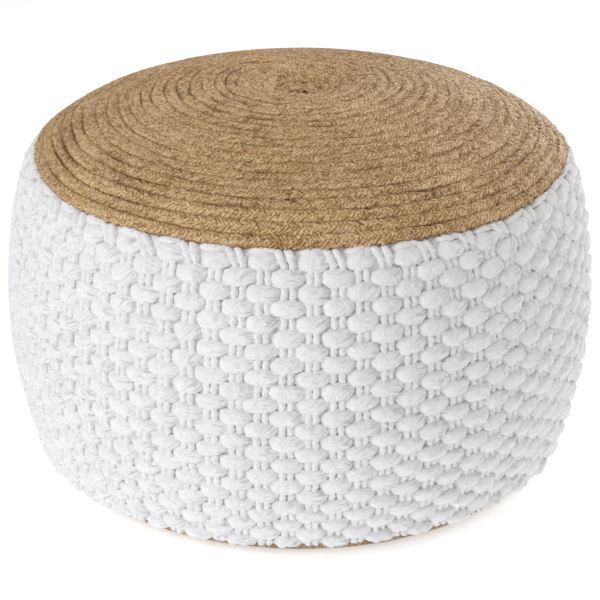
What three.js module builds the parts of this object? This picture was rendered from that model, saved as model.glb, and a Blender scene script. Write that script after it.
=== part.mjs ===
// A round floor pouf: a filled body with a chunky woven cotton side, closed above and below by discs coiled
// from a flat jute braid. Millimetres, +Z up. The origin is on the floor, under the middle of the pouf.

import * as THREE from 'three';

// Driving dimensions
const KNOTS_PER_ROW = 40; // raised weft knots round the side, with as many warp pairs between them
const WEFT_ROWS = 25; // rows of weft from the seam down to the hem
const ROW_PITCH = 11.5; // along the side, from row to row
const FIRST_ROW = 4; // from the seam to the middle of the first row, which is half tucked in
const WEAVE_DEPTH = 7; // from the top of a knot down to the warp between two knots
const TURNS = 23; // turns of braid in the top disc, each drawn as a ring
const BRAID_WIDTH = 11.6;
const BRAID_THICK = 5;
const BRAID_RELIEF = 1.6; // depth of the groove between two turns
const GAP = 0.3; // between pieces that touch
const SPOKES = 40; // facets round a disc
const UNDERSIDE_RINGS = 7; // facets from the middle of the top disc's underside to its edge

// Outer profile, from the middle of the dimple over the crown and down the side to the hem. The seam between
// braid and weave lies where the last turn of braid ends, near r 249, z 290.
const PROFILE = [
  { r: 0, z: 337 },
  { r: 14, z: 341 },
  { r: 33, z: 348.5 },
  { r: 72, z: 352 },
  { r: 129, z: 344 },
  { r: 168, z: 334 },
  { r: 208, z: 320 },
  { r: 232, z: 305 },
  { r: 249, z: 290 },
  { r: 263, z: 252 },
  { r: 271, z: 209 },
  { r: 275, z: 162 },
  { r: 275, z: 116 },
  { r: 270, z: 78 },
  { r: 265, z: 50 },
  { r: 259, z: 30 },
  { r: 256, z: 14 },
  { r: 243, z: 12 },
];

// Outer profile of the base disc, from the lip that the weave is sewn to, round the turned-up last turn, to
// the edge of the flat that rests on the floor.
const BASE_EDGE = [
  { r: 240, z: 11 },
  { r: 240, z: 6 },
  { r: 236, z: 1.6 },
  { r: 229, z: 0 },
];

const profile = new THREE.CatmullRomCurve3(
  PROFILE.map(({ r, z }) => new THREE.Vector3(r, 0, z)), false, 'centripetal');
profile.arcLengthDivisions = 2000;
const profileLength = profile.getLength();
const seam = TURNS * BRAID_WIDTH;

// The profile point at a distance along the profile, moved inwards from the surface by a depth.
function onProfile(distance, depth) {
  const u = distance / profileLength;
  const point = profile.getPointAt(u);
  const along = profile.getTangentAt(u);
  return { r: point.x + along.z * depth, z: point.z - along.x * depth };
}

// A level ring of points round the axis. place(i) gives the radius and height of point i.
function ring(count, place) {
  return Array.from({ length: count }, (_, i) => {
    const { r, z } = place(i);
    const angle = (2 * Math.PI * i) / count;
    return new THREE.Vector3(r * Math.cos(angle), r * Math.sin(angle), z);
  });
}

function pole(z) {
  return [new THREE.Vector3(0, 0, z)];
}

// Triangles between two neighbouring rings. They have as many points each, or one has twice as many, or one
// is a pole. The upper or outer ring comes first, so that the faces point outwards. A quad is split along the
// diagonal that lies deeper, which joins two sunk warps and leaves the knots standing.
function stitch(first, second) {
  const faces = [];
  const at = (points, i) => points[i % points.length];
  const reach = (a, b) => Math.hypot(a.x + b.x, a.y + b.y) / 2;
  if (first.length === second.length) {
    for (let i = 0; i < first.length; i++) {
      const [a, b, c, d] = [at(first, i), at(second, i), at(second, i + 1), at(first, i + 1)];
      if (reach(b, d) < reach(a, c) - GAP) faces.push([a, b, d], [b, c, d]);
      else faces.push([a, b, c], [a, c, d]);
    }
  } else if (first.length === 1) {
    for (let i = 0; i < second.length; i++) faces.push([first[0], at(second, i), at(second, i + 1)]);
  } else if (second.length === 1) {
    for (let i = 0; i < first.length; i++) faces.push([at(first, i), second[0], at(first, i + 1)]);
  } else if (second.length === 2 * first.length) {
    for (let i = 0; i < first.length; i++) {
      faces.push([at(first, i), at(second, 2 * i), at(second, 2 * i + 1)]);
      faces.push([at(first, i), at(second, 2 * i + 1), at(first, i + 1)]);
      faces.push([at(first, i + 1), at(second, 2 * i + 1), at(second, 2 * i + 2)]);
    }
  } else {
    for (let i = 0; i < second.length; i++) {
      faces.push([at(first, 2 * i), at(second, i), at(first, 2 * i + 1)]);
      faces.push([at(first, 2 * i + 1), at(second, i), at(second, i + 1)]);
      faces.push([at(first, 2 * i + 1), at(second, i + 1), at(first, 2 * i + 2)]);
    }
  }
  return faces;
}

// A closed solid from rings that run from the pole on its top to the pole on its underside.
function solid(name, rings, material) {
  const positions = [];
  for (let k = 0; k + 1 < rings.length; k++) {
    for (const corners of stitch(rings[k], rings[k + 1])) {
      for (const corner of corners) positions.push(corner.x, corner.y, corner.z);
    }
  }
  const geometry = new THREE.BufferGeometry();
  geometry.setAttribute('position', new THREE.Float32BufferAttribute(positions, 3));
  geometry.computeVertexNormals();
  const mesh = new THREE.Mesh(geometry, material);
  mesh.name = name;
  return mesh;
}

// The surface under the top disc, from its edge to its middle, at a depth below the outer profile.
function crownRings(depth) {
  const rings = [];
  for (let k = UNDERSIDE_RINGS; k > 0; k--) {
    const spot = onProfile((seam * k) / UNDERSIDE_RINGS, depth);
    rings.push(ring(SPOKES, () => spot));
  }
  rings.push(pole(PROFILE[0].z - depth));
  return rings;
}

// The base disc's surface at a depth inside its outer profile, from the lip to the middle.
function baseRings(depth) {
  const edge = BASE_EDGE.map(({ r, z }, k) => {
    const before = BASE_EDGE[Math.max(k - 1, 0)];
    const after = BASE_EDGE[k + 1] ?? { r: 0, z: 0 };
    const along = new THREE.Vector2(after.r - before.r, after.z - before.z).normalize();
    return { r: r + along.y * depth, z: z - along.x * depth };
  });
  return [...edge.map((spot) => ring(SPOKES, () => spot)), pole(depth)];
}

// The disc coiled from jute braid: a ridge for each turn on top, a plain underside.
function topDisc(material) {
  const rings = [pole(PROFILE[0].z - BRAID_RELIEF)];
  for (let turn = 0; turn < TURNS; turn++) {
    const ridge = onProfile((turn + 0.5) * BRAID_WIDTH, 0);
    const groove = onProfile((turn + 1) * BRAID_WIDTH, BRAID_RELIEF);
    rings.push(ring(SPOKES, () => ridge), ring(SPOKES, () => groove));
  }
  return solid('top_disc', [...rings, ...crownRings(BRAID_THICK)], material);
}

// The filled body: weft knots and sunk warps in a chequer down the side, a seat for each disc.
function sideBand(material) {
  const cells = 2 * KNOTS_PER_ROW;
  const seat = BRAID_THICK + GAP;
  const collar = onProfile(seam + GAP, seat);
  const rings = [...crownRings(seat).reverse(), ring(SPOKES, () => collar)];
  for (let row = 0; row < WEFT_ROWS; row++) {
    const distance = seam + FIRST_ROW + row * ROW_PITCH;
    const knot = onProfile(distance, 0);
    const warp = onProfile(distance, WEAVE_DEPTH);
    rings.push(ring(cells, (i) => ((i + row) % 2 ? warp : knot)));
  }
  const lip = BASE_EDGE[0];
  rings.push(ring(SPOKES, () => ({ r: lip.r, z: lip.z + GAP })));
  rings.push(ring(SPOKES, () => ({ r: lip.r - seat, z: lip.z + GAP })));
  rings.push(...baseRings(seat).slice(1));
  return solid('side_band', rings, material);
}

// The base disc: flat on the floor, with its last turn of braid turned up round the edge.
function baseDisc(material) {
  const inside = baseRings(BRAID_THICK).reverse();
  return solid('base_disc', [...inside, ...baseRings(0)], material);
}

const jute = new THREE.MeshStandardMaterial({ name: 'jute', color: 0xab8a64, roughness: 0.9, metalness: 0 });
const cotton = new THREE.MeshStandardMaterial({ name: 'cotton', color: 0xe6e5e3, roughness: 0.95, metalness: 0 });

const pouf = new THREE.Group();
pouf.name = 'braided_pouf';
pouf.add(topDisc(jute), sideBand(cotton), baseDisc(jute));

export default pouf;
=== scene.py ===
"""A round floor pouf: jute braid coiled over the top and under the base, a chunky cotton weave round its side.

Metres, +Z up, standing on z 0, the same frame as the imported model. Every surface is laid out on the part's
own profile: a place is an angle round the axis, a distance along the profile and a depth inside it.
"""

import math

import bpy
import numpy as np
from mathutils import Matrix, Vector


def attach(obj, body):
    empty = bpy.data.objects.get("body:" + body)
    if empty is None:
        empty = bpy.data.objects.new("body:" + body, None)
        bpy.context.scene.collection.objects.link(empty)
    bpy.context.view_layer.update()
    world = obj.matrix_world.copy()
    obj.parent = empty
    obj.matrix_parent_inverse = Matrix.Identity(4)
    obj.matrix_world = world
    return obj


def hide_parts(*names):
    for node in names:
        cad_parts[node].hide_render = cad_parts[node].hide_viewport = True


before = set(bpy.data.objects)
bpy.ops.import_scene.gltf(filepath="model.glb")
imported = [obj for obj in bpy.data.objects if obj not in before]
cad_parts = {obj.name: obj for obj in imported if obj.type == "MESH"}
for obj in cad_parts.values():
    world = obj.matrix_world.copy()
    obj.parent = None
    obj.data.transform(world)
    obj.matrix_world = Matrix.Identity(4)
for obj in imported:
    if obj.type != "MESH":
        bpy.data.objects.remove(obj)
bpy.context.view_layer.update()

MM = 0.001
TAU = 2 * math.pi
rng = np.random.default_rng(41)

# The part's driving dimensions, as in the model's source
COLUMNS = 80  # warp pairs round the side; every other one is under a knot in each row
COLUMN_ANGLE = TAU / COLUMNS
KNOTS = COLUMNS // 2  # in each row
ROWS = 25
ROW_PITCH = 11.5 * MM
FIRST_ROW = 4 * MM
TURNS = 23
SEAM = 266.8 * MM  # along the profile, from the middle of the dimple to the edge of the jute
PROFILE = [(0, 337), (14, 341), (33, 348.5), (72, 352), (129, 344), (168, 334), (208, 320), (232, 305),
           (249, 290), (263, 252), (271, 209), (275, 162), (275, 116), (270, 78), (265, 50), (259, 30),
           (256, 14), (243, 12)]  # radius and height in mm, from the dimple's middle to the hem
BASE_FLAT = [(0, 0), (60, 0), (120, 0), (180, 0)]  # the base's underside
BASE_EDGE = [(229, 0), (236, 1.6), (240, 6), (240, 11)]  # and its turned-up edge
FRONT = 1.5 * math.pi  # the angle that faces the camera


# ---------------------------------------------------------------- camera, lights, floor

CAMERA_AZIMUTH = 2.25  # degrees to the right of the front
CAMERA_ELEVATION = 24.33
CAMERA_DISTANCE = 1.65  # metres
CAMERA_TARGET = (0, 0, 0.1324)
CAMERA_LENS = 103.04  # mm, on a sensor 36 mm wide

COOL = (0.93, 0.945, 1.0)
WARM = (1.0, 0.97, 0.935)
LIGHTS_TARGET = (0, 0, 0.18)
LIGHTS = [  # name, azimuth and elevation in degrees, distance and size in metres, watts, colour
    ("key", -50, 32, 2.6, 2.2, 27, COOL),
    ("front", 5, 22, 2.8, 3.0, 9, WARM),
    ("top", 0, 86, 2.4, 3.0, 11, WARM),
    ("rim", 112, 22, 2.4, 1.2, 14, WARM),
    ("back_right", 150, 14, 2.6, 2.0, 26, WARM),
    ("back_left", -140, 24, 2.6, 2.4, 6, WARM),
]
WORLD_COLOR = (1.0, 0.985, 0.965, 1)
WORLD_STRENGTH = 0.24
FLOOR_COLOR = (0.93, 0.93, 0.93, 1)
FLOOR_REACH = 9  # metres from the middle to each side
FLOOR_DROP = 0.4 * MM  # below the pouf's foot, so that the two faces stay apart
# the floor glows a little, from one strength within the first radius to another beyond the second: painted
# light, strongest near the pouf's foot, which washes out its contact shadow and lights the pouf from below
FLOOR_GLOW_COLOR = (0.93, 0.97, 1.0, 1)
FLOOR_GLOW = {"From Min": 0.24, "From Max": 0.38, "To Min": 0.45, "To Max": 0.37}


def look_from(azimuth, elevation, distance, target):
    """The place that lies at an azimuth and an elevation, in degrees, and a distance from a target."""
    azimuth, elevation = math.radians(azimuth), math.radians(elevation)
    away = np.array([math.sin(azimuth) * math.cos(elevation), -math.cos(azimuth) * math.cos(elevation),
                     math.sin(elevation)])
    return np.array(target) + distance * away


def put_facing(obj, place, target):
    """Puts an object into the scene at a place, facing a target."""
    obj.location = Vector(place)
    obj.rotation_euler = (Vector(target) - Vector(place)).to_track_quat("-Z", "Y").to_euler()
    bpy.context.scene.collection.objects.link(obj)


def make_camera():
    data = bpy.data.cameras.new("camera")
    data.sensor_width = 36.0
    data.lens = CAMERA_LENS
    data.clip_end = 60
    camera = bpy.data.objects.new("camera", data)
    place = look_from(CAMERA_AZIMUTH, CAMERA_ELEVATION, CAMERA_DISTANCE, CAMERA_TARGET)
    put_facing(camera, place, CAMERA_TARGET)
    bpy.context.scene.camera = camera


def area_light(name, azimuth, elevation, distance, size, power, color):
    data = bpy.data.lights.new(name, "AREA")
    data.shape = "DISK"
    data.size = size
    data.energy = power
    data.color = color
    light = bpy.data.objects.new(name, data)
    light.visible_camera = False
    put_facing(light, look_from(azimuth, elevation, distance, LIGHTS_TARGET), LIGHTS_TARGET)


def make_floor():
    corners = np.array([(-1, -1, 0), (1, -1, 0), (1, 1, 0), (-1, 1, 0)]) * FLOOR_REACH
    floor = new_mesh("floor", {"points": corners - (0, 0, FLOOR_DROP), "quads": [(0, 1, 2, 3)]})
    n = Nodes("pale_floor_painted_glow")
    n.shader.inputs["Base Color"].default_value = FLOOR_COLOR
    n.shader.inputs["Roughness"].default_value = 0.7
    n.shader.inputs["Emission Color"].default_value = FLOOR_GLOW_COLOR
    place = n.add("ShaderNodeTexCoord").outputs["Object"]
    radius = n.add("ShaderNodeVectorMath", {0: place}, operation="LENGTH").outputs["Value"]
    # painted light: the floor's glow, stronger close to the pouf than further out
    glow = n.add("ShaderNodeMapRange", {"Value": radius, **FLOOR_GLOW})
    n.put(glow.outputs[0], n.shader.inputs["Emission Strength"])
    floor.data.materials.append(n.material)


def make_studio():
    scene = bpy.context.scene
    scene.view_settings.view_transform = "Standard"
    scene.view_settings.look = "None"
    world = bpy.data.worlds.new("studio")
    world.use_nodes = True
    background = world.node_tree.nodes["Background"]
    background.inputs["Color"].default_value = WORLD_COLOR
    background.inputs["Strength"].default_value = WORLD_STRENGTH
    scene.world = world
    for light in LIGHTS:
        area_light(*light)
    make_floor()


# ---------------------------------------------------------------- meshes

def new_mesh(name, *forms):
    """A smooth-shaded object made of one or more forms. A form maps "points" and "quads" or "triangles" to
    arrays, with faces counted from its own first point, and the name of each attribute to one value or vector
    for each of its points."""
    starts = np.cumsum([0] + [len(form["points"]) for form in forms])
    corners, sizes = [], []
    for key, size in (("quads", 4), ("triangles", 3)):
        for form, start in zip(forms, starts):
            if key in form:
                corners.append(np.asarray(form[key], np.int32).ravel() + start)
                sizes.append(np.full(len(form[key]), size, np.int32))
    corners, sizes = np.concatenate(corners), np.concatenate(sizes)
    mesh = bpy.data.meshes.new(name)
    points = np.concatenate([form["points"] for form in forms])
    mesh.vertices.add(len(points))
    mesh.vertices.foreach_set("co", np.asarray(points, np.float32).ravel())
    mesh.loops.add(len(corners))
    mesh.loops.foreach_set("vertex_index", corners.astype(np.int32))
    mesh.polygons.add(len(sizes))
    mesh.polygons.foreach_set("loop_start", np.concatenate([[0], np.cumsum(sizes)[:-1]]).astype(np.int32))
    mesh.polygons.foreach_set("use_smooth", np.ones(len(sizes), bool))
    mesh.update(calc_edges=True)
    for key in forms[0]:
        if key not in ("points", "quads", "triangles"):
            values = np.concatenate([form[key] for form in forms]).astype(np.float32)
            kind, field = ("FLOAT", "value") if values.ndim == 1 else ("FLOAT_VECTOR", "vector")
            mesh.attributes.new(key, kind, "POINT").data.foreach_set(field, values.ravel())
    obj = bpy.data.objects.new(name, mesh)
    bpy.context.scene.collection.objects.link(obj)
    return obj


def grid_quads(rows, columns, close_rows=False, row_shift=0):
    """Quads of a grid of points, counted row by row, whose columns close round. row_shift turns the last row
    against the first where the rows are closed too."""
    r, c = np.meshgrid(np.arange(rows if close_rows else rows - 1), np.arange(columns), indexing="ij")
    next_r, next_c = (r + 1) % rows, (c + 1) % columns
    shift = np.where(r + 1 == rows, row_shift, 0)
    here, there = r * columns, next_r * columns
    corners = [here + c, there + (c + shift) % columns, there + (next_c + shift) % columns, here + next_c]
    return np.stack(corners, -1).reshape(-1, 4)


def fan(center, ring, sides):
    """Triangles from a centre to the sides of a closed ring of points, counted from its first point."""
    here = np.arange(sides)
    return np.stack([np.full(sides, center), ring + here, ring + (here + 1) % sides], 1)


def capped_tube(rings, first_end, last_end):
    """The points, quads and triangles of a tube of closed rings whose two ends are closed with a fan each."""
    count, sides = rings.shape[:2]
    total = count * sides
    first, last = fan(total, 0, sides), fan(total + 1, total - sides, sides)
    return {"points": np.vstack([rings.reshape(-1, 3), first_end, last_end]),
            "quads": grid_quads(count, sides),
            "triangles": np.vstack([first, last[:, [0, 2, 1]]])}


def smooth(low, high, x):
    """An even rise from 0 at low to 1 at high, or the other way round where low is the greater one."""
    t = np.clip((x - low) / (high - low), 0, 1)
    return t * t * (3 - 2 * t)


def wander(x, waves, seed, size=1.0):
    """A smooth wave of about the given size that repeats each turn: waves is the most ripples in a turn."""
    random = np.random.default_rng(seed)
    total = np.zeros_like(x, dtype=float)
    weight = 0.0
    for n in range(1, waves + 1):
        amount = random.normal() / math.sqrt(n)
        total += amount * np.sin(n * x + random.uniform(0, TAU))
        weight += 0.5 / n
    return size * total / math.sqrt(weight)


# ---------------------------------------------------------------- the profile

class Outline:
    """A curve of radius and height, in metres, along which a surface of revolution is laid out. inward is 1
    where the inside lies to the right of the way along the curve, and -1 where to the left."""

    STEP = 0.25 * MM

    def __init__(self, points, inward=1):
        self.inward = inward
        length = np.concatenate([[0], np.cumsum(np.hypot(*np.diff(points, axis=0).T))])
        self.length = length[-1]
        self.distance = np.linspace(0, self.length, int(self.length / self.STEP) + 1)
        self.r = np.interp(self.distance, length, points[:, 0])
        self.z = np.interp(self.distance, length, points[:, 1])
        along = np.stack([np.gradient(self.r), np.gradient(self.z)], 1)
        along /= np.linalg.norm(along, axis=1)[:, None]
        self.along_r, self.along_z = along.T

    def radius(self, distance):
        return np.interp(distance, self.distance, self.r)

    def place(self, angle, distance, depth):
        """Points at an angle round the axis, a distance along the curve and a depth inside it."""
        inside = np.clip(distance, 0, self.length)
        over = distance - inside
        ar = np.interp(inside, self.distance, self.along_r)
        az = np.interp(inside, self.distance, self.along_z)
        depth = depth * self.inward
        r = np.interp(inside, self.distance, self.r) + over * ar + depth * az
        z = np.interp(inside, self.distance, self.z) + over * az - depth * ar
        return np.stack([r * np.cos(angle), r * np.sin(angle), z], -1)


def centripetal(points, samples=60):
    """The same centripetal Catmull-Rom curve as in the model's source."""
    points = np.array(points, float)
    ends = [2 * points[0] - points[1], *points, 2 * points[-1] - points[-2]]
    curve = []
    for p0, p1, p2, p3 in zip(ends, ends[1:], ends[2:], ends[3:]):
        d0, d1, d2 = (math.sqrt(np.linalg.norm(b - a)) for a, b in ((p0, p1), (p1, p2), (p2, p3)))
        t1 = ((p1 - p0) / d0 - (p2 - p0) / (d0 + d1) + (p2 - p1) / d1) * d1
        t2 = ((p2 - p1) / d1 - (p3 - p1) / (d1 + d2) + (p3 - p2) / d2) * d1
        t = np.linspace(0, 1, samples, endpoint=False)[:, None]
        curve.append(p1 + t1 * t + (3 * (p2 - p1) - 2 * t1 - t2) * t**2 + (2 * (p1 - p2) + t1 + t2) * t**3)
    return np.vstack([*curve, points[-1:]])


body = Outline(centripetal(PROFILE) * MM)
base = Outline(np.vstack([BASE_FLAT, centripetal(BASE_EDGE, 12)]) * MM, inward=-1)


def edge_of_jute(angle):
    """How far the jute's edge lies from the seam. It sags a little at the front and draws up at the sides."""
    turned = np.degrees((angle - FRONT + math.pi) % TAU - math.pi)
    drawn = 7.0 * smooth(36, 80, turned) + 6.0 * smooth(46, 84, -turned)
    return (-1.5 - drawn) * MM + wander(angle, 9, 3, 0.5 * MM)


def covered(angle, distance, near):
    """How far a place is under the jute: from 0 at a distance near below its edge to 1 at 3 mm above it."""
    return smooth(near, -3 * MM, distance - SEAM - edge_of_jute(angle))


# ---------------------------------------------------------------- cotton weave

KNOT_HALF_HEIGHT = 8.2 * MM
KNOT_HALF_THICK = 4.6 * MM
SQUEEZED_HEIGHT = 4.3 * MM  # the same yarn where a warp pair presses on it
SQUEEZED_THICK = 2.8 * MM
KNOT_DEPTH = 4.8 * MM  # of the yarn's middle, at a knot
UNDER_DEPTH = 10.6 * MM  # and under a warp
LOOSER = 0.28  # how much plumper the knots are on the +x side of the pouf, and flatter on the other
SLACK = 2.0 * MM  # how much deeper the yarns between them lie there
KNOT_LEFT = 0.63  # how far a knot reaches to each side, as a share of a column
KNOT_RIGHT = 0.66
DIVE = (0.32, 0.74)  # where the yarn starts and ends its way down beside a knot
FIRST_ROW_HEIGHT = 0.6  # of the first row, which is half under the jute, as a share of the others
STRANDS = 4  # lobes round the weft bundle
STRAND_TURN = -2.2  # of the bundle from knot to knot, in radians
PARTING = (0.07, 0.13)  # how deep the strands part on a knot's left, and how much more on its right
FLUFF = 0.085  # unevenness of the yarn's skin, as a share of its thickness
YARN_GIRTH = 42 * MM
KNOT_RINGS = np.array([-0.74, -0.61, -0.53, -0.44, -0.32, -0.19, -0.05, 0.09, 0.23, 0.36, 0.47, 0.56, 0.68,
                       1.0])  # where the rings lie over a knot, in columns from its middle
WEFT_SIDES = 16
WEFT_ANGLE = TAU / WEFT_SIDES

COVERED_DEPTH = 3.2 * MM  # how much deeper the first rows lie where the jute covers them

WARP_DEPTH = 6.4 * MM  # of a warp cord's middle, on average
WARP_WAVE = 1.0 * MM  # and how far it rises and falls between the rows
WARP_BEHIND = 13 * MM  # its depth at the top where it ends behind the first row
WARP_END = body.length - 6 * MM  # along the profile
PROUDER = 0.7 * MM  # how much a warp that runs up to the jute stands out there
TUCK = 5 * MM  # how far the warps' ends dive under the jute, and at the hem
CORD_RADIUS = 3.3 * MM
CORD_APART = 3.15 * MM  # from the middle of the pair to each cord's middle
CORD_PLY = 12 * MM  # along a warp cord, for one turn of its two plies
CORD_SIDES = 8
CORD_ANGLES = np.arange(CORD_SIDES) * TAU / CORD_SIDES


def row_distance(row):
    """The middle of a row along the profile. The rows are looser under the jute and packed at the hem."""
    uneven = -5.0 * np.exp(-np.maximum(row - 0.6, 0) / 1.7) + 1.5 * np.exp(-((row - 11) / 5) ** 2)
    hem = 2.0 * smooth(18, 22, row) + 7.0 * smooth(22, 25.5, row)
    return SEAM + FIRST_ROW + ROW_PITCH * row + (uneven - hem) * MM


ROW_MIDDLES = row_distance(np.arange(ROWS))


def row_spread(row):
    """How much further a row lies from its neighbours than the row pitch."""
    return (row_distance(row + 1) - row_distance(row - 1)) / (2 * ROW_PITCH)


def follow_jute(angle, row):
    """The first rows are drawn up and down with the jute's edge."""
    return (edge_of_jute(angle) + 1.5 * MM) * 0.85 * np.exp(-row / 1.3)


def knot_side(row):
    """Whether a row's knots are on the even columns, 0, or the odd ones, 1. The thin first row, which is half
    under the jute, goes over the same warps as the second."""
    return max(row, 1) % 2


def column_drift(angle, distance):
    """The columns of knots lean and wander a little, as they do on a hand weave."""
    down = (distance - SEAM) / (body.length - SEAM)
    return 0.010 * wander(angle, 5, 11) * down + 0.004 * np.sin(3 * angle + 5 * down)


def row_sag(angle, row):
    """The rows aren't dead level either."""
    return wander(angle, 6, 100 + row // 3, 0.5 * MM) + wander(angle, 4, 200 + row, 0.3 * MM)


def each_knot(mean, spread):
    """A random value for each knot of a row."""
    return rng.normal(mean, spread, (KNOTS, 1, 1))


def strand_turn(t):
    """How far round the strands have turned at each ring of a row, up to the right over each knot. Also how
    many sides the row's end is turned against its start."""
    twist = each_knot(STRAND_TURN, 0.6)
    shift = int(round(twist.sum() / WEFT_ANGLE))
    twist *= WEFT_ANGLE * shift / twist.sum()
    begin = np.cumsum(twist).reshape(twist.shape) - twist + rng.uniform(0, TAU)
    return begin + twist * (t + 1) / 2, shift


def weft_row(row):
    """A closed row of thick soft yarn that runs over and under the warp pairs. Arrays count its knots, the
    rings of each knot and the points round a ring; t is a place over a knot, in columns from its middle."""
    t = np.broadcast_to(KNOT_RINGS[:, None], (KNOTS, len(KNOT_RINGS), 1))
    number = np.arange(KNOTS)[:, None, None]
    column = number * 2 + knot_side(row)
    looser = np.cos(column * COLUMN_ANGLE)
    loose = 1 + LOOSER * looser
    # each knot's own size, place and lean, and how deep its strands part
    wide = each_knot(1.02, 0.06)
    tall = each_knot(1, 0.06) * (FIRST_ROW_HEIGHT if row == 0 else 1)
    plump = each_knot(1, 0.07) * loose
    off_x = each_knot(0, 0.5 * MM)
    off_s = each_knot(0, 0.45 * MM)
    lean = each_knot(-0.035, 0.05)
    split = rng.uniform(0.6, 1.25, (KNOTS, 1, 1))

    # the section's size at each ring
    knot_t = t / wide
    left, right = np.clip(-knot_t / KNOT_LEFT, 0, 1), np.clip(knot_t / KNOT_RIGHT, 0, 1)
    full = np.where(knot_t < 0, (1 - left**2.5) ** 0.55, (1 - right**2.7) ** 0.5)
    tallest = KNOT_HALF_HEIGHT * row_spread(row) ** 0.5
    height = SQUEEZED_HEIGHT + (tallest - SQUEEZED_HEIGHT) * full * tall
    thick = SQUEEZED_THICK + (KNOT_HALF_THICK * plump - SQUEEZED_THICK) * full

    # the way of its middle: x round the pouf from the knot's column, s along the profile, and a depth
    over, under = KNOT_DEPTH * loose, UNDER_DEPTH + SLACK * looser
    depth = over + (under - over) * smooth(*DIVE, np.abs(knot_t + 0.02))
    radius = body.radius(ROW_MIDDLES[row])
    near = 1 - smooth(0.5, 1, np.abs(t))
    x = t * COLUMN_ANGLE * radius + off_x * near
    s = ROW_MIDDLES[row] + off_s * near + lean * x * (1 - smooth(0.6, 1, np.abs(t)))
    along = number * 2 * COLUMN_ANGLE * radius + x

    # the section: rounded strands with grooves between them, which are deeper on the knot's right
    turn, shift = strand_turn(t)
    from_crest = np.arange(WEFT_SIDES) * WEFT_ANGLE
    phi = turn + from_crest
    crest = np.abs(np.cos(STRANDS / 2 * from_crest))
    parting = (PARTING[0] + PARTING[1] * smooth(-0.4, 0.3, t)) * split
    lobe = 1 - parting * (1 - crest) ** 1.2
    lobe = lobe * (1 + FLUFF * rng.normal(0, 1, lobe.shape))
    across = height * np.sign(np.sin(phi)) * np.abs(np.sin(phi)) ** 0.82 * lobe
    out = thick * np.cos(phi) * lobe

    # it is square to the path where the yarn dives
    slope = np.gradient(depth.ravel(), along.ravel()).reshape(t.shape)
    norm = np.sqrt(1 + slope**2)
    angle = column * COLUMN_ANGLE + (x + out * slope / norm) / radius
    distance = s + across
    angle = angle + column_drift(angle, distance)
    distance = distance + row_sag(angle, row) + follow_jute(angle, row)
    depth = depth - out / norm
    if row < 2:  # nothing of the first rows stands above the jute that covers them
        depth = depth + COVERED_DEPTH * covered(angle, distance, 3 * MM)

    around = np.abs(np.arange(WEFT_SIDES) / WEFT_SIDES - 0.5) * YARN_GIRTH
    yarn = np.stack(np.broadcast_arrays(along, around, row * 0.37), -1)
    # painted shade of the grooves between strands, on each knot's right half, the side away from the key light
    stroke_shade = np.broadcast_to(smooth(-0.25, 0.3, t) * split, phi.shape)  # they show on the knot's right
    return {"points": body.place(angle, distance, depth).reshape(-1, 3),
            "quads": grid_quads(KNOTS * len(KNOT_RINGS), WEFT_SIDES, True, shift),
            "yarn": yarn.reshape(-1, 3),
            "tint": np.broadcast_to(each_knot(0, 1), phi.shape).ravel(),
            "crease_shade": stroke_shade.ravel()}


def runs_over(column, row):
    """Whether a column's warp pair runs over a row."""
    return (column + knot_side(row)) % 2 == 1


def warp_spots(column):
    """Where a warp cord's rings lie along the profile: five on the stretch that shows between two knots, two
    on the stretch under a knot, and fewer at the first row."""
    spots = [SEAM - 14 * MM, SEAM - 8 * MM, SEAM - 4 * MM]
    for row, middle in enumerate(ROW_MIDDLES):
        if runs_over(column, row):
            apart = 2.2 * MM
            steps = (-1, 1) if row == 0 else (-2, -1, 0, 1, 2)
        else:
            apart = 3.2 * MM
            steps = (1,) if row == 0 else (-1, 1)
        spots += [middle + step * apart for step in steps]
    return np.array([s for s in spots if s <= WARP_END - 2 * MM] + [WARP_END])


def warp_depth(column, s):
    """The depth of a warp pair's middle. At the top it runs up to the jute or ends behind the first row, and
    at the hem it dives."""
    phase = np.interp(s, ROW_MIDDLES, np.arange(ROWS)) + column
    depth = WARP_DEPTH + SLACK * math.cos(column * COLUMN_ANGLE) + WARP_WAVE * np.cos(math.pi * phase)
    top = WARP_DEPTH - WARP_WAVE if runs_over(column, 0) else WARP_BEHIND
    depth = depth + (top - depth) * smooth(ROW_MIDDLES[1] + 1 * MM, ROW_MIDDLES[1] - 5 * MM, s)
    return depth + TUCK * smooth(WARP_END - 8 * MM, WARP_END, s)


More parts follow.
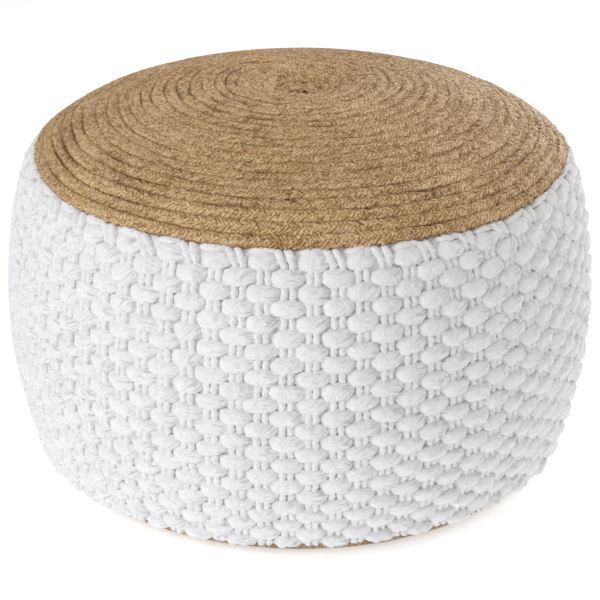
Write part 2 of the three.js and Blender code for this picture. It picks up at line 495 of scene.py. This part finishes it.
def warp_cord(column, side, lean):
    """One of the two cords of a warp pair, from under the jute down to the base, over and under the rows.
    side is -1 or 1, lean how far its end leans over, in mm."""
    s = warp_spots(column)
    radius = body.radius(s)
    lateral = side * CORD_APART + rng.normal(0, 0.2 * MM) + 0.3 * MM * np.sin(s * 210 + rng.uniform(0, TAU))
    leaning = np.clip((ROW_MIDDLES[1] + 3 * MM - s) / (18 * MM), 0, 1)
    lateral = lateral + (side * 1.4 - lean) * MM * leaning
    straight = np.full(s.shape, column * COLUMN_ANGLE)
    angle = straight + lateral / radius + column_drift(straight, s)

    # the ends that show are looser and stand a little prouder, until they tuck under the jute
    depth = warp_depth(column, s) + rng.normal(0, 0.25 * MM)
    depth = depth + 0.25 * MM * np.sin(s * 160 + rng.uniform(0, TAU))
    loose = smooth(ROW_MIDDLES[1] + 5 * MM, ROW_MIDDLES[1] - 4 * MM, s) * runs_over(column, 0)
    depth = depth - PROUDER * loose + TUCK * covered(straight, s, 4 * MM)

    # two plies turn round each other
    turn = s / CORD_PLY * TAU + rng.uniform(0, TAU)
    plies = 1 + 0.2 * np.cos(2 * (CORD_ANGLES - turn[:, None]))
    reach = CORD_RADIUS * rng.normal(1, 0.05, plies.shape) * plies * (1 + 0.3 * loose)[:, None]
    angle = angle[:, None] + reach * np.sin(CORD_ANGLES) / radius[:, None]
    distance = s[:, None] + row_sag(angle, 0) * 0.5
    rings = body.place(angle, distance, depth[:, None] - reach * np.cos(CORD_ANGLES))
    form = capped_tube(rings, rings[0].mean(0), rings[-1].mean(0))
    around = np.abs(CORD_ANGLES - math.pi) * CORD_RADIUS
    yarn = np.stack(np.broadcast_arrays(s[:, None], around, column * 0.61 + side * 0.2), -1).reshape(-1, 3)
    count = len(form["points"])
    return {**form, "yarn": np.vstack([yarn, yarn[:2]]), "tint": np.full(count, rng.normal()),
            "crease_shade": np.zeros(count)}


# ---------------------------------------------------------------- jute braid

BRAID_PERIOD = 4.0 * MM  # along the braid, from one stitch to the next
BRAID_STEP = BRAID_PERIOD / 2
BRAID_SLANT = 6.2 * MM  # how far a stitch runs along the braid from its edge to the middle
ARCH = 0.95 * MM  # how much lower the braid's edges lie than its middle
STITCH = 0.55 * MM  # how far the points between two stitches sink
ACROSS = np.array([-1.0, -0.8, -0.5, -0.18, 0.18, 0.5, 0.8, 1.0])  # the points across the braid
SPARE = 0.15  # of a turn's pitch, which the coil needs beyond its whole turns
END_STARTS = 0.80  # the part of the last turn after which the braid narrows
END_NARROWS = 0.78  # and by how much
END_TUCK = 1.2 * MM  # how far its end dives
GROOVE_RUN = 45 * MM  # along the braid, in which a groove may go from open to nearly closed
DRAWN_APART = math.radians(190)  # the angle at which the turns lie furthest apart
SWELL = 0.45 * MM  # slow rise and fall along a turn
SKIN = 0.16 * MM  # unevenness of the braid's skin
BUTTON_SPOKES = 16


def drift_in_turn(part):
    """How far the spiral has moved out, as a share of its pitch, after a part of a turn."""
    return 0.4 * part + 0.6 * smooth(0.74, 1.0, part)


def split_turns(turned, turns):
    """The whole turns gone and the part of the next one. The last turn's end still belongs to that turn."""
    whole = np.minimum(np.floor(turned), turns - 1)
    return whole, turned - whole


def braid_width(part):
    """How wide the last turn is after a part of it."""
    return 1 - END_NARROWS * smooth(END_STARTS, 1.0, part)


class Coil:
    """A disc coiled from one flat braid, from the middle to the edge, as one closed strip with a button of
    braid over the middle. reach is the disc's size along its outline, edge(angle) what its outer edge departs
    by, lift how much the turns differ in height, and roughness how uneven the braid is, from 0 to 1. Arrays
    count the steps along the braid and the points across it."""

    def __init__(self, outline, turns, reach, edge, thickness, start_angle, step, lift, roughness, seed):
        self.outline, self.edge = outline, edge
        self.turns, self.reach, self.thickness = turns, reach, thickness
        self.lift, self.roughness, self.seed = lift, roughness, seed
        self.random = np.random.default_rng(seed)
        self.pitch = reach / (turns + SPARE)
        # equal steps along the braid's middle line, and the turns gone after a length of it
        gone = np.linspace(0, turns, 400 * turns + 1)
        whole, part = split_turns(gone, turns)
        middle = self.pitch * (whole + 0.5 + drift_in_turn(part))
        length = np.concatenate([[0], np.cumsum(np.diff(gone) * TAU * (middle[1:] + middle[:-1]) / 2)])
        self.length = length[-1]
        self.walk = np.arange(int(self.length / step) + 1) * step
        self.shape = (len(self.walk), len(ACROSS))
        # the stitches slant: a point's place along the braid runs ahead towards the middle of the braid
        ahead = BRAID_SLANT * (1 - np.abs(ACROSS))
        self.along = np.clip(self.walk[:, None] + ahead + self.uneven(0.45 * MM), 0, self.length)
        self.turned = np.interp(self.along, length, gone)
        self.angle = start_angle + self.turned * TAU
        self.end_part = self.turned - (turns - 1)

    def uneven(self, spread):
        """A random departure for each point, none where the roughness is 0."""
        return self.random.normal(0, spread * self.roughness, self.shape)

    def distance(self):
        """How far out each point lies along the outline."""
        whole, part = split_turns(self.turned, self.turns)
        spread = whole + drift_in_turn(part) + (0.5 + 0.52 * ACROSS) * braid_width(self.end_part)
        # where the last turn's outer edge runs, so that the whole coil is eased to end at the disc's edge
        outer = drift_in_turn(part) + 1.02 * braid_width(part) - 1 + 0.2 * (1 - smooth(0, 0.12, part))
        ease = (self.turns + SPARE) / (self.turns + outer)
        share = np.clip(spread * self.pitch / self.reach, 0, 1.2)
        distance = spread * self.pitch * ease + self.edge(self.angle) * share**2
        waver = 0.5 * MM * self.roughness * wander(self.angle, 7, self.seed + 1)
        distance = np.abs(distance + waver * np.sin(share * 19 + 1))
        outermost = (self.end_part > 0) * (ACROSS > 0.9)
        return distance + outermost * self.uneven(0.9 * MM)

    def relief(self):
        """How deep each point lies: an arch over the braid, stitches, and turns of uneven height."""
        # the grooves between turns come and go, and are deepest where the turns have drawn apart
        spots = int(self.length / GROOVE_RUN) + 2
        opening = np.clip(self.random.normal(1.0, 0.4, spots), 0.3, 2.0)
        opening = np.interp(self.along / self.length * (spots - 1), np.arange(spots), opening)
        apart = 1 + 0.5 * self.roughness * np.cos(self.angle - DRAWN_APART)
        arch = ARCH * np.abs(ACROSS) ** 1.8 * (1 + self.roughness * (opening - 1)) * apart
        # every other point is the crest of a stitch, half a stitch apart on the two arms of the braid; the
        # points between sink, and some are pits, most of them along the braid's edges
        between = 1 - (np.arange(self.shape[0])[:, None] + (ACROSS > 0)) % 2
        stitch = STITCH * np.clip(self.random.normal(0.9, 0.7, self.shape), 0, 2.2) * between
        edge_pits = np.clip(self.random.normal(0.4, 1.2, self.shape), 0, 3.0)
        inner_pits = np.clip(self.random.normal(-1.0, 1.1, self.shape), 0, 2.2)
        pits = MM * np.where(np.abs(ACROSS) > 0.9, edge_pits, inner_pits) * between * self.roughness
        swell = SWELL * wander(self.angle + 1.7 * np.floor(self.turned), 14, self.seed + 2)
        each_turn = self.random.normal(0, 0.30, self.turns + 1) * MM
        swell = swell + np.interp(self.turned, np.arange(self.turns + 1), each_turn)
        relief = arch + stitch + self.lift * swell + self.uneven(SKIN)
        return np.maximum(relief, 0) + pits + END_TUCK * smooth(END_STARTS, 1.0, self.end_part)

    def strip(self):
        """The braid: its top, and an underside with the same steps straight below the two edges."""
        distance, relief = self.distance(), self.relief()
        low = np.full((self.shape[0], 2), self.thickness)
        top = self.outline.place(self.angle, distance, relief)
        under = self.outline.place(self.angle[:, [-1, 0]], distance[:, [-1, 0]], low)
        grid = np.concatenate([top, under], 1)
        steps, columns = grid.shape[:2]
        first = np.arange(1, columns - 1)
        start = np.stack([np.zeros_like(first), first, first + 1], 1)
        # along a stitch, across the stitches, and half a stitch more on the outer arm
        arm = ACROSS * math.hypot(BRAID_SLANT, self.pitch / 2)
        fibre = np.stack(np.broadcast_arrays(arm, self.walk[:, None], np.where(ACROSS > 0, 0.5, 0)), -1)
        return {"points": grid.reshape(-1, 3),
                "quads": grid_quads(steps, columns),
                "triangles": np.vstack([start, start[:, [0, 2, 1]] + (steps - 1) * columns]),
                "fibre": np.concatenate([fibre, fibre[:, [-1, 0]]], 1).reshape(-1, 3),
                "sunk": np.concatenate([relief, low], 1).ravel() / MM}

    def button(self):
        """A small button of braid that closes the middle, where the coil starts."""
        angle = np.arange(BUTTON_SPOKES) * TAU / BUTTON_SPOKES
        distance = np.array([3.5, 7.0, 10.5])[:, None] * MM
        depth = np.array([1.0, 1.6, 3.2])[:, None] * MM
        rings = self.outline.place(*np.broadcast_arrays(angle, distance, depth))
        poles = self.outline.place(np.zeros(2), np.zeros(2), np.array([0.8, 3.6]) * MM)
        form = capped_tube(rings, *poles)
        return {**form, "fibre": form["points"], "sunk": np.full(len(form["points"]), 0.8)}

    def build(self, name):
        forms = [self.strip(), self.button()]
        if self.outline.inward < 0:  # the way round a face turns over with the outline
            for form in forms:
                form["quads"], form["triangles"] = form["quads"][:, ::-1], form["triangles"][:, ::-1]
        return new_mesh(name, *forms)


# ---------------------------------------------------------------- filled body

FILLING_DEPTH = 4.7 * MM  # under the weave; a little more under the two discs
UNDER_TOP = 5.4 * MM
UNDER_BASE = 5.6 * MM
FILLING_SPOKES = 72


def filled_body():
    """The barrel that the weave and the jute lie on."""
    top = body.place(0, np.linspace(0, SEAM - 12 * MM, 24), UNDER_TOP)
    side = body.place(0, np.linspace(SEAM - 2 * MM, body.length - 4 * MM, 30), FILLING_DEPTH)
    foot = base.place(0, np.linspace(235 * MM, 0, 12), UNDER_BASE)
    profile = np.vstack([top, side, foot])
    profile[0, 0] = profile[-1, 0] = 0
    angle = np.arange(FILLING_SPOKES) * TAU / FILLING_SPOKES
    radius = profile[1:-1, :1] - 0.9 * SLACK * (1 + np.cos(angle))  # it draws in where the weave is slack
    height = np.broadcast_to(profile[1:-1, 2:], radius.shape)
    rings = np.stack([radius * np.cos(angle), radius * np.sin(angle), height], -1)
    form = capped_tube(rings, profile[0], profile[-1])
    x, y, z = form["points"].T
    return new_mesh("filled_body", {**form, "yarn": np.stack([z, np.arctan2(y, x) * 0.27, x], 1),
                                    "tint": np.full(len(x), -1.0), "crease_shade": np.zeros(len(x))})


# ---------------------------------------------------------------- materials

# the grey of the painted shade in the grooves between the weft's strands
STROKE_SHADE_COLOR = (0.62, 0.61, 0.61)
COTTON_SURFACE = {"Roughness": 0.95, "Sheen Weight": 0.15, "Sheen Roughness": 0.5, "Specular IOR Level": 0.15}
YARN_BEND = 4.8 * MM  # how far the yarns of the jute may waver across the stitches
JUTE_SURFACE = {"Roughness": 0.5, "Specular IOR Level": 0.6}


class Nodes:
    """A short way to write a node tree."""

    def __init__(self, name):
        self.material = bpy.data.materials.new(name)
        self.material.use_nodes = True
        self.tree = self.material.node_tree
        self.shader = self.tree.nodes["Principled BSDF"]

    def add(self, kind, inputs=None, **settings):
        node = self.tree.nodes.new(kind)
        for key, value in settings.items():
            setattr(node, key, value)
        for key, value in (inputs or {}).items():
            self.put(value, node.inputs[key])
        return node

    def put(self, value, socket):
        if hasattr(value, "is_output"):
            self.tree.links.new(value, socket)
        else:
            socket.default_value = value

    def math(self, operation, a, b=0.0, clamp=False):
        node = self.add("ShaderNodeMath", {0: a, 1: b}, operation=operation)
        node.use_clamp = clamp
        return node.outputs[0]

    def weigh(self, *terms):
        """The sum of some values, each times its weight."""
        total, *others = [self.math("MULTIPLY", value, weight) for value, weight in terms]
        for other in others:
            total = self.math("ADD", total, other)
        return total

    def wave(self, value, cycles):
        """A wave from 0 to 1 with some crests in each unit of a value."""
        return self.math("ABSOLUTE", self.math("SINE", self.math("MULTIPLY", value, cycles * math.pi)))

    def attribute(self, name, output="Vector"):
        return self.add("ShaderNodeAttribute", attribute_name=name).outputs[output]

    def noise(self, vector, scale, detail=2.0, roughness=0.5, distortion=0.0):
        """Noise at one scale, or, where scale is a tuple, at a scale for each axis."""
        if isinstance(scale, tuple):
            vector = self.add("ShaderNodeMapping", {"Vector": vector, "Scale": scale}).outputs[0]
            scale = 1.0
        node = self.add("ShaderNodeTexNoise", {"Vector": vector, "Scale": scale, "Detail": detail,
                                               "Roughness": roughness, "Distortion": distortion})
        return node.outputs["Fac"]

    def ramp(self, value, stops):
        node = self.add("ShaderNodeValToRGB", {"Fac": value})
        elements = node.color_ramp.elements
        while len(elements) < len(stops):
            elements.new(0.5)
        for element, (position, color) in zip(elements, stops):
            element.position = position
            element.color = (*color, 1)
        return node.outputs["Color"]

    def mix(self, fac, a, b):
        """Colour a where fac is 0 and the fixed colour b where it is 1."""
        node = self.add("ShaderNodeMix", data_type="RGBA")
        for key, value in (("Factor_Float", fac), ("A_Color", a), ("B_Color", (*b, 1))):
            self.put(value, next(s for s in node.inputs if s.identifier == key))
        return next(s for s in node.outputs if s.identifier == "Result_Color")

    def finish(self, color, height, distance, strength, **sockets):
        """The material, with a colour, a bump of a height, and fixed values for other sockets."""
        bump = self.add("ShaderNodeBump", {"Height": height, "Distance": distance, "Strength": strength})
        for key, value in {"Base Color": color, "Normal": bump.outputs[0], **sockets}.items():
            self.put(value, self.shader.inputs[key])
        return self.material


def cotton(name, light, dark):
    """Soft spun cotton: fibres laid along the strand, fluff over them, short grey strokes of painted shade in
    the grooves between the strands, and a faint unevenness of white. It reads yarn, a place along the yarn,
    round it and which yarn it is; tint, a tone for each knot or cord; and the crease shade, how much the
    painted strokes show."""
    n = Nodes(name)
    yarn = n.attribute("yarn")
    parts = n.add("ShaderNodeSeparateXYZ", {0: yarn}).outputs
    fibres = n.noise(yarn, (300, 600, 1), 3.0, 0.6)
    fluff = n.noise(n.add("ShaderNodeTexCoord").outputs["Object"], 380, 3.0, 0.62)
    patches = n.noise(yarn, (45, 80, 3), 2.0)
    # the strokes of painted groove shade rise to the right
    rise = n.math("SUBTRACT", parts[1], n.math("MULTIPLY", parts[0], 0.35))
    slanted = n.add("ShaderNodeCombineXYZ", {0: parts[0], 1: rise, 2: parts[2]}).outputs[0]
    stroke_shade = n.add("ShaderNodeMapRange", {"Value": n.noise(slanted, (130, 560, 1), 1.0), "From Min": 0.53,
                                           "From Max": 0.66}, interpolation_type="SMOOTHSTEP").outputs[0]
    stroke_shade = n.math("MULTIPLY", stroke_shade, n.attribute("crease_shade", "Fac"))
    value = n.weigh((fibres, 0.45), (fluff, 0.6), (patches, 0.2), (n.attribute("tint", "Fac"), 0.02))
    color = n.ramp(value, [(0.50, dark), (0.70, light)])
    # painted shade: grey strokes in the strand grooves, as much as the crease shade allows
    color = n.mix(n.math("MULTIPLY", stroke_shade, 0.7), color, STROKE_SHADE_COLOR)
    height = n.weigh((fibres, 0.8), (fluff, 1.6), (stroke_shade, -1.0))
    return n.finish(color, height, 1.4 * MM, 0.45, **COTTON_SURFACE)


def jute(name, dark, middle, light, groove_shade):
    """Braided jute: thin yarns side by side along each stitch, straw to brown, with painted shade down in the
    grooves, the pits and between the stitches, and a painted highlight on each stitch's crest. It reads fibre,
    a place along a stitch, across the stitches and the arm of the braid; and sunk, a depth in mm."""
    n = Nodes(name)
    fibre = n.attribute("fibre")
    parts = n.add("ShaderNodeSeparateXYZ", {0: fibre}).outputs
    # one band for each stitch, half a stitch apart on the two arms, and the yarns in it; in the colour the
    # band is a painted highlight on each stitch's crest and painted shade between the stitches
    bend = n.math("MULTIPLY", n.noise(fibre, (200, 160, 1), 1.0), YARN_BEND)
    across = n.math("ADD", parts[1], bend)
    count = n.math("ADD", n.math("MULTIPLY", across, 1 / BRAID_PERIOD), parts[2])
    stitch = n.math("POWER", n.wave(count, 1), 0.55)
    yarns = n.wave(count, 3)
    streaks = n.noise(fibre, (260, 900, 1), 3.0, 0.7, 0.3)
    clumps = n.noise(fibre, (150, 110, 1), 2.0, 0.6)
    place = n.add("ShaderNodeTexCoord").outputs["Object"]
    flecks = n.noise(place, 720, 2.0, 0.7)
    patches = n.noise(place, 16, 3.0, 0.6)
    # each one varies about its own mean and has its own weight
    # the stitch band here paints highlight and shade of the stitch relief into the colour
    varied = ((streaks, 0.5, 2.3), (stitch, 0.72, 0.5), (yarns, 0.64, 0.15), (flecks, 0.5, 1.8),
              (patches, 0.5, 0.5), (clumps, 0.5, 1.0))
    value = n.weigh(*((n.math("SUBTRACT", pattern, mean), weight) for pattern, mean, weight in varied))
    color = n.ramp(n.math("ADD", value, 0.52), [(0.12, dark), (0.5, middle), (0.88, light)])
    # painted shade: the colour turns to the last, darkest one where the surface lies more than about a
    # millimetre deep, in grooves, pits and between stitches
    sunk = n.math("SUBTRACT", n.attribute("sunk", "Fac"), 1.05)
    color = n.mix(n.math("MULTIPLY", sunk, 0.8, clamp=True), color, groove_shade)
    height = n.weigh((stitch, 0.7), (yarns, 0.3), (streaks, 0.8), (flecks, 0.8))
    return n.finish(color, height, 1.1 * MM, 0.9, **JUTE_SURFACE)


# ---------------------------------------------------------------- the pieces

BASE_TURNS = 21
WEFT_SPLITS = (0, 7, 13, 19, ROWS)  # the rows at which the weft's four pieces start and end
WARP_SPLITS = (0, 40, COLUMNS)

make_camera()
make_studio()

weft_cotton = cotton("cotton_weft", (0.97, 0.97, 0.975), (0.86, 0.855, 0.855))
# painted light: the warp cords and the filling behind them are a little whiter than the weft, to offset the
# shade of the recesses they lie in
lightened_warp_cotton = cotton("cotton_warp_lightened", (0.98, 0.98, 0.98), (0.89, 0.885, 0.885))
# the last colour of each jute is the painted shade of its grooves and pits
top_jute = jute("jute_braid", (0.29, 0.132, 0.04), (0.74, 0.415, 0.152), (1.0, 0.78, 0.46),
                (0.27, 0.125, 0.04))
base_jute = jute("jute_base_braid", (0.28, 0.16, 0.065), (0.50, 0.32, 0.155), (0.75, 0.56, 0.34),
                 (0.2, 0.11, 0.05))

cotton_pieces = []
for i, (first, end) in enumerate(zip(WEFT_SPLITS, WEFT_SPLITS[1:])):
    piece = new_mesh(f"weft_{i + 1}", *[weft_row(row) for row in range(first, end)])
    piece.data.materials.append(weft_cotton)
    cotton_pieces.append(piece)
warp_lean = rng.normal(6.5, 2.5, COLUMNS)
for i, (first, end) in enumerate(zip(WARP_SPLITS, WARP_SPLITS[1:])):
    cords = [warp_cord(column, side, warp_lean[column]) for column in range(first, end) for side in (-1, 1)]
    piece = new_mesh(f"warp_{i + 1}", *cords)
    piece.data.materials.append(lightened_warp_cotton)
    cotton_pieces.append(piece)
core = filled_body()
core.data.materials.append(lightened_warp_cotton)
cotton_pieces.append(core)

jute_top = Coil(body, TURNS, SEAM, edge_of_jute, thickness=4.6 * MM, start_angle=math.radians(75),
                step=BRAID_STEP, lift=1.0, roughness=1.0, seed=5).build("jute_top_coil")
jute_top.data.materials.append(top_jute)
jute_base = Coil(base, BASE_TURNS, base.length, np.zeros_like, thickness=4.4 * MM,
                 start_angle=math.radians(60), step=3.2 * MM, lift=0.4, roughness=0.0,
                 seed=9).build("jute_base_coil")
jute_base.data.materials.append(base_jute)

for piece in cotton_pieces:
    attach(piece, "root")
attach(jute_top, "root")
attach(jute_base, "root")
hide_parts("side_band")
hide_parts("top_disc")
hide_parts("base_disc")

bpy.context.view_layer.update()
